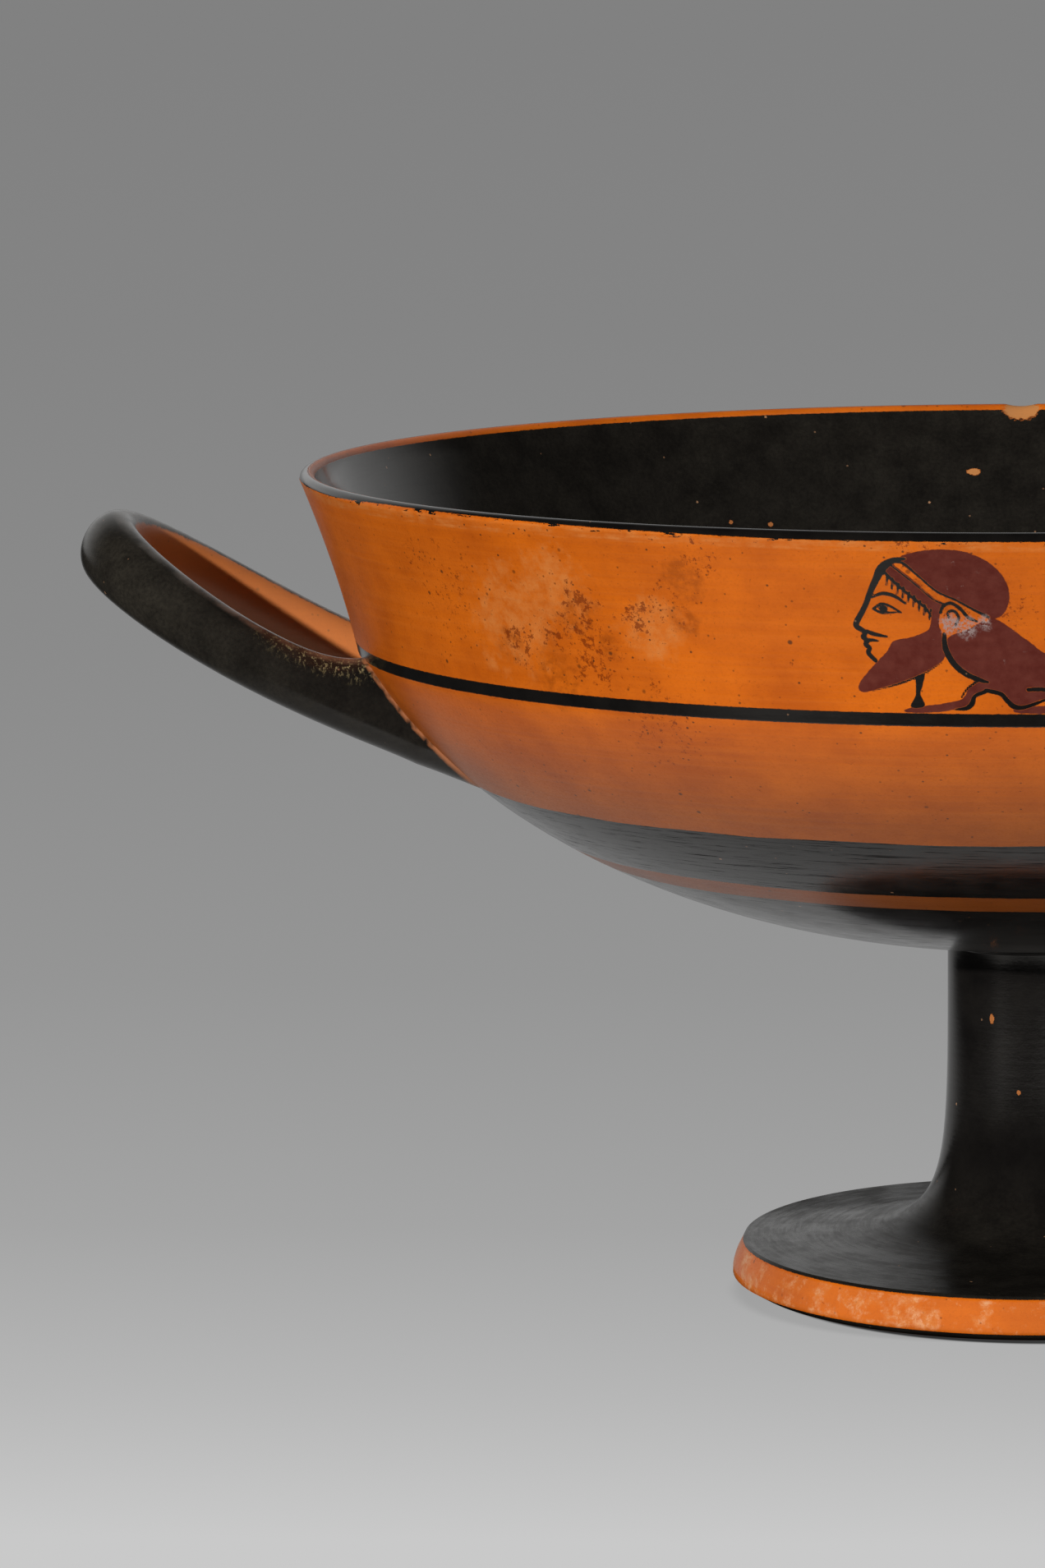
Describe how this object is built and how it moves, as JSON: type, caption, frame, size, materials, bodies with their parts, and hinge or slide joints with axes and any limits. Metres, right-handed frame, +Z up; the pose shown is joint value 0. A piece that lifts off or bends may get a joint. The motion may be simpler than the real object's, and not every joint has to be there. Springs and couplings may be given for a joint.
{
  "type": "kylix cup",
  "caption": "Wide shallow stemmed drinking cup with an offset lip, disc foot and upturned horizontal loop handles, painted in black slip on orange clay.",
  "frame": {"origin": "centre of the resting foot, on the surface the cup stands on", "axes": "+Z up the stem to the mouth, +X through the two handles, -Y the side with the main figure"},
  "size_m": [0.2762, 0.21, 0.1204],
  "materials": {
    "black_slip": "glossy",
    "painted_clay": "satin"
  },
  "bodies": {
    "root": {"kylix_cup": "black_slip"}
  },
  "joints": []
}
